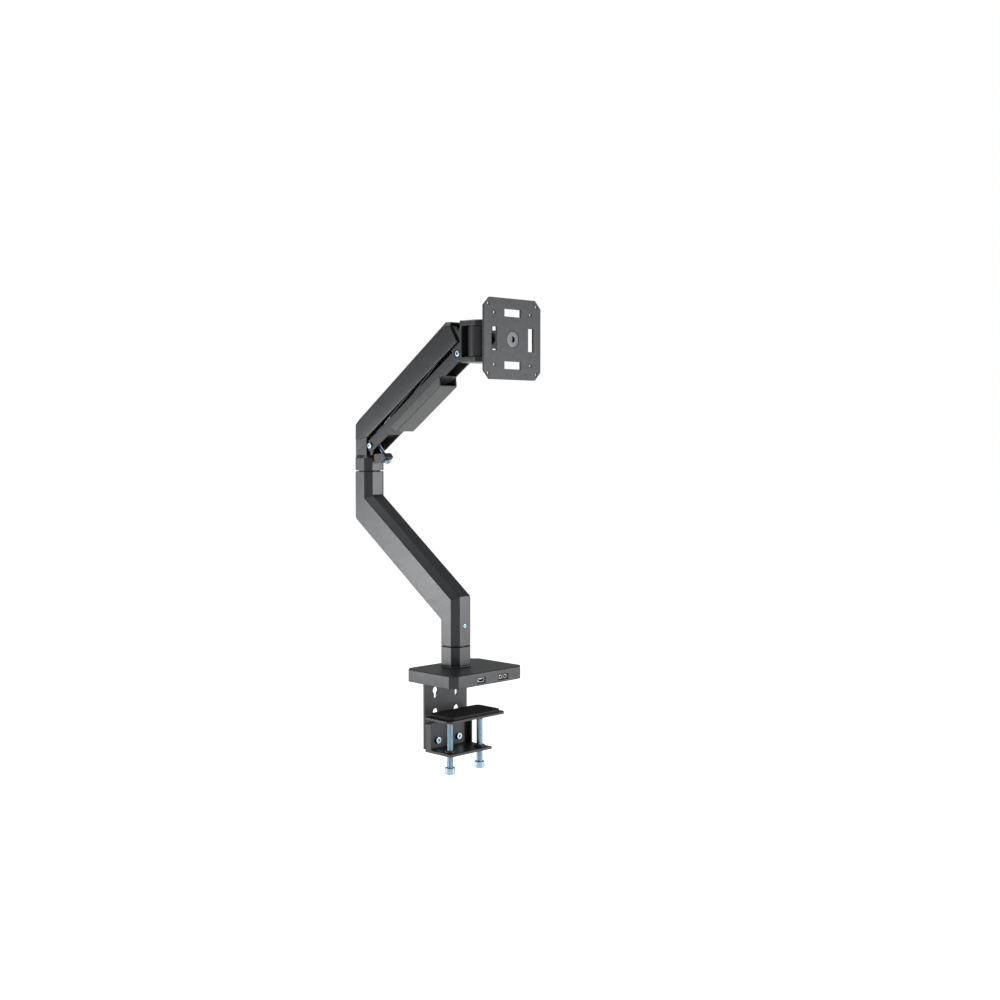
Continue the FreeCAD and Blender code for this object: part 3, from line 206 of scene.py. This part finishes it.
def satin_paint(name, shade, metal, rough, peel=1500.0, depth=0.00004):
    """Metallic paint: flake colour, cloudy gloss and orange peel."""
    darkest, lightest = 0.80, 1.22
    made, shader, graph, place = new_material(name)
    cloud = graph.noise(place, 22.0, 3.0)
    flake = graph.noise(place, 5200.0, 1.0)
    tone = cloud * 0.55 + flake * 0.45
    lower = tuple(part * darkest for part in shade)
    upper = tuple(part * lightest for part in shade)
    rubbed = graph.noise(place, 140.0, 4.0)
    feed(graph, shader, color=graph.blend(tone, lower, upper), rough=rough - 0.06 + 0.12 * rubbed)
    shader.inputs["Metallic"].default_value = metal
    bump(graph, shader, graph.noise(place, peel, 2.0) + 0.25 * flake, depth)
    return made


def only(piece):
    """Select one piece and nothing else."""
    if bpy.context.object and bpy.context.object.mode != "OBJECT":
        bpy.ops.object.mode_set(mode="OBJECT")
    bpy.ops.object.select_all(action="DESELECT")
    bpy.context.view_layer.objects.active = piece
    piece.select_set(True)


def merged_copy(node, name):
    """A copy of a part with its triangles joined into whole faces."""
    same_place, nearly_flat = 1e-6, math.radians(0.4)
    piece = bpy.data.objects.new(name, nodes[node].data.copy())
    bpy.context.scene.collection.objects.link(piece)
    only(piece)
    bpy.ops.object.mode_set(mode="EDIT")
    bpy.ops.mesh.select_all(action="SELECT")
    bpy.ops.mesh.remove_doubles(threshold=same_place)
    bpy.ops.mesh.dissolve_limited(angle_limit=nearly_flat)
    bpy.ops.object.mode_set(mode="OBJECT")
    return piece


def apply(piece, kind, **settings):
    """Add a modifier to a piece and apply it."""
    only(piece)
    modifier = piece.modifiers.new(kind.lower(), kind)
    for key, value in settings.items():
        setattr(modifier, key, value)
    bpy.ops.object.modifier_apply(modifier=modifier.name)


def soften(piece, edge, steps=2, sharp=32):
    """Round off the edges that turn more than sharp, in degrees, and shade the faces between them flat."""
    apply(piece, "BEVEL", width=edge, segments=steps, limit_method="ANGLE",
          angle_limit=math.radians(sharp), use_clamp_overlap=False, loop_slide=False)
    apply(piece, "TRIANGULATE", min_vertices=5)
    only(piece)
    bpy.ops.object.shade_smooth_by_angle(angle=math.radians(40))
    apply(piece, "WEIGHTED_NORMAL", keep_sharp=True, weight=60)


def fit(piece, node, material):
    """Keep a piece inside its part's box and put it in that part's place and body, in its material."""
    low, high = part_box(node)
    for vertex in piece.data.vertices:
        vertex.co = [min(max(at, low[i]), high[i]) for i, at in enumerate(vertex.co)]
    piece.data.materials.clear()
    piece.data.materials.append(material)
    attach(piece, body_of_node[node])
    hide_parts(node)
    return piece


def finished(node, edge, material, steps=2):
    """A part with rounded edges and its real surface."""
    piece = merged_copy(node, node + "_finished")
    soften(piece, edge, steps)
    return fit(piece, node, material)


housing_paint = satin_paint("graphite_casting", (0.036, 0.037, 0.039), 0.55, 0.38)
finished("base_housing", 0.8 * MM, housing_paint, 3)


# ---- Base pad ----
# A sheet of soft black rubber glued under the housing, ribbed across so that it grips the desk.
def rubber(name):
    """Matt black rubber, a little dusty, with a fine pebble."""
    made, shader, graph, place = new_material(name)
    dust = graph.noise(place, 60.0, 5.0)
    pebble = graph.noise(place, 1900.0, 2.0)
    feed(graph, shader, color=graph.blend(dust, (0.010, 0.010, 0.011), (0.030, 0.030, 0.031)),
         rough=0.72 + 0.2 * pebble)
    shader.inputs["Specular IOR Level"].default_value = 0.35
    bump(graph, shader, pebble + 0.4 * dust, 0.00009)
    return made


def block(place, size):
    """A plain block with its place and size in its mesh."""
    bpy.ops.object.select_all(action="DESELECT")
    bpy.ops.mesh.primitive_cube_add(size=1, location=place)
    made = bpy.context.object
    made.scale = size
    bpy.ops.object.transform_apply(location=True, rotation=True, scale=True)
    return made


def joined(pieces):
    """Join some pieces into the first of them."""
    only(pieces[0])
    for piece in pieces:
        piece.select_set(True)
    bpy.ops.object.join()
    return pieces[0]


def ribbed(piece, node, top, spacing, wide, deep):
    """Cut a row of grooves across a pad's face, each one a long thin bar taken away."""
    low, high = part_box(node)
    level = high.z if top else low.z
    long = (high.y - low.y) * 0.86
    count = int((high.x - low.x - 2 * spacing) / spacing)
    bars = []
    for step in range(count + 1):
        across = (low.x + high.x) / 2 + (step - count / 2) * spacing
        bars.append(block((across, 0, level), (wide, long, 2 * deep)))
    cutter = joined(bars)
    apply(piece, "BOOLEAN", object=cutter, operation="DIFFERENCE", solver="EXACT")
    bpy.data.objects.remove(cutter)


pad_rubber = rubber("ribbed_rubber")
base_pad = merged_copy("base_pad", "base_pad_finished")
ribbed(base_pad, "base_pad", top=False, spacing=6 * MM, wide=2.2 * MM, deep=0.9 * MM)
soften(base_pad, 0.35 * MM)
fit(base_pad, "base_pad", pad_rubber)


# ---- Hub board and sockets ----
# A green circuit board under the housing carries the sockets that show in its front edge: one with
# a folded steel shell, a black tongue and gilt contacts, and a pair of round jacks with metal rims.
def solder_mask(name):
    """Green lacquer over copper tracks that run straight and turn square."""
    made, shader, graph, place = new_material(name)
    tracks = graph.node("TexBrick", {"offset": 0.5, "squash": 1.0},
                        {"Vector": place, "Scale": 260.0, "Mortar Size": 0.06, "Mortar Smooth": 0.2},
                        "Fac")
    feed(graph, shader, color=graph.blend(tracks, (0.010, 0.075, 0.030), (0.03, 0.16, 0.07)),
         rough=0.3 + 0.1 * graph.noise(place, 500.0))
    bump(graph, shader, tracks, 0.00003)
    return made


def moulded(name, dark, light, rough, grain=2400.0, depth=0.00005):
    """Moulded plastic with a spark-eroded grain."""
    made, shader, graph, place = new_material(name)
    cloud = graph.noise(place, 35.0, 3.0)
    grains = graph.noise(place, grain, 2.0)
    feed(graph, shader, color=graph.blend(0.6 * cloud + 0.4 * grains, dark, light),
         rough=rough - 0.05 + 0.12 * grains)
    bump(graph, shader, grains, depth)
    return made


def plated(name, dark, light, rough, lay=(1, 1, 1), scale=900.0, depth=0.00001, film=0.0):
    """Bare or plated metal with marks that run across the given lay."""
    made, shader, graph, place = new_material(name)
    marks = graph.noise(graph.stretched(place, lay), scale, 3.0)
    cloud = graph.noise(place, 90.0, 3.0)
    feed(graph, shader, color=graph.blend(0.5 * cloud + 0.5 * marks, dark, light),
         rough=rough - 0.08 + 0.16 * marks + film * cloud)
    shader.inputs["Metallic"].default_value = 1.0
    bump(graph, shader, marks, depth)
    return made


black_plastic = moulded("black_plastic", (0.012, 0.012, 0.013), (0.030, 0.030, 0.032), 0.45)
socket_steel = plated("socket_steel", (0.42, 0.42, 0.42), (0.62, 0.61, 0.60), 0.30, (0.15, 1, 1))
gilt = plated("gilt_contact", (0.62, 0.44, 0.17), (0.80, 0.62, 0.30), 0.25)
finished("hub_board", 0.15 * MM, solder_mask("solder_mask"))
finished("usb_socket", 0.15 * MM, black_plastic)
finished("audio_sockets", 0.2 * MM, black_plastic, 3)

low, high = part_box("usb_socket")
usb_y, usb_z = (low.y + high.y) / 2, (low.z + high.z) / 2
tongue_z = usb_z + 1.6 * MM
shell_wall, shell_hollow = 0.35 * MM, 9.2 * MM
usb_shell = block((high.x - 5 * MM, usb_y, usb_z), (9.6 * MM, 12.36 * MM, 4.96 * MM))
usb_shell.name = "usb_shell"
bpy.ops.object.mode_set(mode="EDIT")
bpy.ops.mesh.select_all(action="DESELECT")
bpy.ops.object.mode_set(mode="OBJECT")
for face in usb_shell.data.polygons:
    face.select = face.normal.x > 0.5
bpy.ops.object.mode_set(mode="EDIT")
bpy.ops.mesh.inset(thickness=shell_wall, depth=0)
bpy.ops.mesh.extrude_region_move(TRANSFORM_OT_translate={"value": (-shell_hollow, 0, 0)})
bpy.ops.object.mode_set(mode="OBJECT")
soften(usb_shell, 0.1 * MM)
usb_shell.data.materials.append(socket_steel)
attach(usb_shell, "base")

usb_tongue = block((high.x - 4.6 * MM, usb_y, tongue_z - 0.1 * MM), (7.6 * MM, 10.4 * MM, 1.7 * MM))
usb_tongue.name = "usb_tongue"
soften(usb_tongue, 0.25 * MM)
usb_tongue.data.materials.append(black_plastic)
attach(usb_tongue, "base")

contacts = []
for step in range(4):
    middle = (high.x - 4.4 * MM, usb_y + (step - 1.5) * 2.3 * MM, tongue_z - 1.02 * MM)
    contacts.append(block(middle, (6.4 * MM, 1.1 * MM, 0.22 * MM)))
usb_contacts = joined(contacts)
usb_contacts.name = "usb_contacts"
soften(usb_contacts, 0.06 * MM)
usb_contacts.data.materials.append(gilt)
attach(usb_contacts, "base")

low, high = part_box("audio_sockets")
rim_radius, rim_wire, rim_x, rim_z = 2.35 * MM, 0.42 * MM, high.x + 0.02 * MM, low.z + 3.7 * MM
for side, word in ((-1, "left"), (1, "right")):
    bpy.ops.mesh.primitive_torus_add(major_segments=48, minor_segments=12, major_radius=rim_radius,
                                     minor_radius=rim_wire, rotation=(0, math.pi / 2, 0),
                                     location=(rim_x, (low.y + high.y) / 2 + side * 5 * MM, rim_z))
    rim = bpy.context.object
    rim.name = "jack_rim_" + word
    bpy.ops.object.transform_apply(location=True, rotation=True, scale=True)
    bpy.ops.object.shade_smooth()
    rim.data.materials.append(socket_steel)
    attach(rim, "base")


# ---- Clamp plates ----
# Back plate, jaw and pressing plate are 4 mm steel, punched and folded, then powder coated in
# black-grey. The coat is a little rougher than the castings' paint and rounds the punched edges.
steel_paint = satin_paint("powder_coated_steel", (0.030, 0.031, 0.033), 0.45, 0.44, 1100.0, 0.00007)
for node in ("clamp_back_plate", "clamp_jaw", "pressing_plate"):
    finished(node, 0.45 * MM, steel_paint)

# ---- Pressing pad ----
# A ribbed rubber pad glued on the pressing plate, which meets the underside of the desk.
pressing_pad = merged_copy("pressing_pad", "pressing_pad_finished")
ribbed(pressing_pad, "pressing_pad", top=True, spacing=6 * MM, wide=2.2 * MM, deep=1.0 * MM)
soften(pressing_pad, 0.35 * MM)
fit(pressing_pad, "pressing_pad", pad_rubber)


# ---- Screws with sockets ----
# Every screw that shows is steel with a thin blue-white zinc plating; its head has a hexagon socket,
# and a fine lathe finish lies under the plating.
zinc = plated("blue_zinc", (0.22, 0.33, 0.40), (0.40, 0.52, 0.59), 0.30, (1, 1, 3), 1300.0, film=0.05)
screw_endings = ("_screw", "_screw_1", "_screw_2", "_screw_left", "_screw_right")
for node in sorted(nodes):
    if node.endswith(screw_endings) and node != "tension_screw":
        finished(node, 0.25 * MM, zinc)
finished("jaw_nut_bar", 0.4 * MM, zinc)


# ---- Clamp bolts ----
# Two M10 bolts, plated like the screws. Each one has a rolled thread all the way up to the pressing
# plate and a round head with a hexagon socket.
def thread(name, length, crest, root, pitch):
    """Helical thread that stands on the origin: one ridge's outline carried round and up the axis."""
    outline = [(root, 0), (root, 0.12), (crest, 0.43), (crest, 0.57), (root, 0.88), (root, 1)]
    corners = [(out, 0, rise * pitch) for out, rise in outline]
    mesh = bpy.data.meshes.new(name)
    mesh.from_pydata(corners, [(first, first + 1) for first in range(len(corners) - 1)], [])
    ridge = bpy.data.objects.new(name, mesh)
    bpy.context.scene.collection.objects.link(ridge)
    steps = 28
    apply(ridge, "SCREW", axis="Z", angle=2 * math.pi, screw_offset=pitch, iterations=int(length / pitch),
          steps=steps, render_steps=steps, use_merge_vertices=True, merge_threshold=1e-6)
    only(ridge)
    bpy.ops.object.mode_set(mode="EDIT")
    bpy.ops.mesh.select_all(action="SELECT")
    bpy.ops.mesh.remove_doubles(threshold=2e-6)
    bpy.ops.mesh.fill_holes(sides=0)
    bpy.ops.mesh.select_all(action="SELECT")
    bpy.ops.mesh.normals_make_consistent(inside=False)
    bpy.ops.object.mode_set(mode="OBJECT")
    bpy.ops.object.shade_smooth_by_angle(angle=math.radians(35))
    return ridge


def slimmed(piece, centre, axis, start, stop, radius, crest):
    """Turn a plain shank down to a radius between two places on its axis; a wider head keeps its size."""
    for vertex in piece.data.vertices:
        offset = vertex.co - centre
        along = offset.dot(axis)
        across = offset - along * axis
        if start < along < stop and radius < across.length < crest + 0.2 * MM:
            vertex.co = centre + along * axis + across.normalized() * radius


def threaded(node, centre, axis, start, stop, crest, root, pitch, edge):
    """Plain screw turned down and given its thread, from start to stop along its axis."""
    past_its_end = 50 * MM
    piece = merged_copy(node, node + "_finished")
    slimmed(piece, centre, axis, start - 0.5 * MM, stop + past_its_end, root - 0.05 * MM, crest)
    soften(piece, edge)
    ridge = thread(node + "_thread", stop - start, crest, root, pitch)
    turn = axis.to_track_quat("Z", "Y").to_matrix().to_4x4()
    ridge.data.transform(Matrix.Translation(centre + start * axis) @ turn)
    only(piece)
    ridge.select_set(True)
    bpy.ops.object.join()
    return fit(piece, node, zinc)


for word in ("left", "right"):
    low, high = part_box("clamp_bolt_" + word)
    middle = Vector(((low.x + high.x) / 2, (low.y + high.y) / 2, low.z))
    threaded("clamp_bolt_" + word, middle, Vector((0, 0, 1)), start=10.2 * MM,
             stop=high.z - low.z - 3.5 * MM, crest=4.97 * MM, root=4.2 * MM, pitch=1.5 * MM, edge=0.5 * MM)


# ---- Post, lower arm, elbow and tip castings ----
# The arm itself is cast in aluminium with an eight-sided section. The castings are painted like
# the base, a shade brighter, and their long edges are broken by about a millimetre.
arm_paint = satin_paint("graphite_arm", (0.042, 0.043, 0.045), 0.62, 0.34)
finished("base_post", 0.5 * MM, arm_paint, 3)
finished("lower_arm", 0.9 * MM, arm_paint, 3)
finished("elbow_bracket", 0.45 * MM, arm_paint, 3)
finished("tip_bracket", 0.45 * MM, arm_paint, 3)
finished("head_knuckle", 0.7 * MM, arm_paint, 3)

# ---- Swivel spindles, bushes and washers ----
# The spindles and pins are turned from bright steel bar. The spindles run in moulded acetal bushes
# and everything that turns bears on acetal washers.
turned_steel = plated("turned_steel", (0.36, 0.36, 0.36), (0.52, 0.52, 0.51), 0.27, (1, 1, 14), 500.0)
acetal = moulded("acetal", (0.045, 0.045, 0.047), (0.075, 0.075, 0.078), 0.4, 1500.0, 0.00003)
for node in ("base_spindle", "elbow_spindle", "elbow_pivot_pin", "tip_pivot_pin", "strut_pin"):
    finished(node, 0.3 * MM, turned_steel)
for node in sorted(nodes):
    if "_bush_" in node or "_washer" in node:
        finished(node, 0.15 * MM, acetal)

# ---- Lower arm cover and cable cover ----
# Two clip-in shells of graphite plastic that hide the cables: one under the lower arm,
# one hung below the lower link.
shell_plastic = moulded("graphite_shell", (0.022, 0.023, 0.024), (0.040, 0.041, 0.043), 0.36,
                        1700.0, 0.00003)
finished("lower_arm_cover", 0.5 * MM, shell_plastic, 3)
finished("cable_cover", 0.6 * MM, shell_plastic, 3)

# ---- Links ----
# The upper and lower links are channels pressed from sheet steel, coated like the clamp.
for node in ("upper_link", "lower_link"):
    finished(node, 0.35 * MM, steel_paint)

# ---- Upper cover ----
# The long hood over the upper link is drawn aluminium, painted like the castings.
# Its sides lean in a little towards the roof, more and more as they rise.
lift = next(j for j in frame["joints"] if j["name"] == "arm_lift")
level = next(j for j in frame["joints"] if j["name"] == "tip_level")
elbow_pin = Vector(lift["pos_m"])
along_link = (Vector(level["pos_m"]) - elbow_pin).normalized()
over_link = Vector((-along_link.z, 0, along_link.x))
hood = merged_copy("upper_cover", "upper_cover_finished")
crown_from, crown_to = -18 * MM, 23 * MM
lean_in, lean_power, flat_half = 1.3 * MM, 1.6, 12 * MM
cuts = 12
only(hood)
bpy.ops.object.mode_set(mode="EDIT")
for step in range(cuts):
    height = crown_from + (crown_to - crown_from) * step / cuts
    bpy.ops.mesh.select_all(action="SELECT")
    bpy.ops.mesh.bisect(plane_co=elbow_pin + over_link * height, plane_no=over_link)
bpy.ops.object.mode_set(mode="OBJECT")
for vertex in hood.data.vertices:
    height = (vertex.co - elbow_pin).dot(over_link)
    if height > crown_from:
        share = (height - crown_from) / (crown_to - crown_from)
        towards_edge = min(1, abs(vertex.co.y) / flat_half)
        vertex.co.y -= math.copysign(lean_in * share ** lean_power, vertex.co.y) * towards_edge
soften(hood, 0.8 * MM, 3, sharp=28)
fit(hood, "upper_cover", arm_paint)

# ---- Gas strut ----
# A black lacquered cylinder, rolled in round its open end, and a bright ground rod with a fork.
# The fork holds on to a bright steel carriage that slides between the cheeks of a moulded lug.
lacquer, shader, graph, place = new_material("black_lacquer")
cloud = graph.noise(place, 40.0, 3.0)
feed(graph, shader, color=graph.blend(cloud, (0.010, 0.010, 0.011), (0.022, 0.022, 0.024)),
     rough=0.22 + 0.12 * graph.noise(place, 700.0), coat=0.5 + 0.2 * cloud)
bump(graph, shader, graph.noise(place, 900.0), 0.00001)
finished("strut_cylinder", 0.8 * MM, lacquer, 3)
finished("strut_rod", 0.3 * MM, turned_steel)
finished("spring_carriage", 0.4 * MM, turned_steel)
finished("anchor_lug", 0.5 * MM, black_plastic, 3)

# ---- Tension screw ----
# An M6 screw that pulls the carriage along its slope to set the lift; plated like the others.
turning = next(j for j in frame["joints"] if j["name"] == "tension_turn")
screw_axis = Vector(turning["axis"]).normalized()
places_along = [vertex.co.dot(screw_axis) for vertex in nodes["tension_screw"].data.vertices]
screw_foot, screw_end = min(places_along), max(places_along)
screw_centre = Vector(turning["pos_m"])
screw_centre += screw_axis * (screw_foot - screw_centre.dot(screw_axis))
threaded("tension_screw", screw_centre, screw_axis, start=4.8 * MM,
         stop=screw_end - screw_foot - 0.6 * MM, crest=2.98 * MM, root=2.45 * MM, pitch=1.0 * MM,
         edge=0.3 * MM)

# ---- Head: yoke, tilt bolt and display plate ----
# The yoke and the display plate are stamped steel, coated like the links. The head's bolts, its nut
# and the spindle that carries the plate are turned steel with an oiled black oxide.
finished("tilt_yoke", 0.4 * MM, steel_paint)
finished("vesa_plate", 0.4 * MM, steel_paint)
black_oxide = plated("black_oxide_steel", (0.035, 0.036, 0.040), (0.085, 0.087, 0.092), 0.33, (1, 1, 3))
for node in ("pan_bolt", "tilt_bolt", "tilt_nut", "turn_spindle"):
    finished(node, 0.4 * MM, black_oxide)
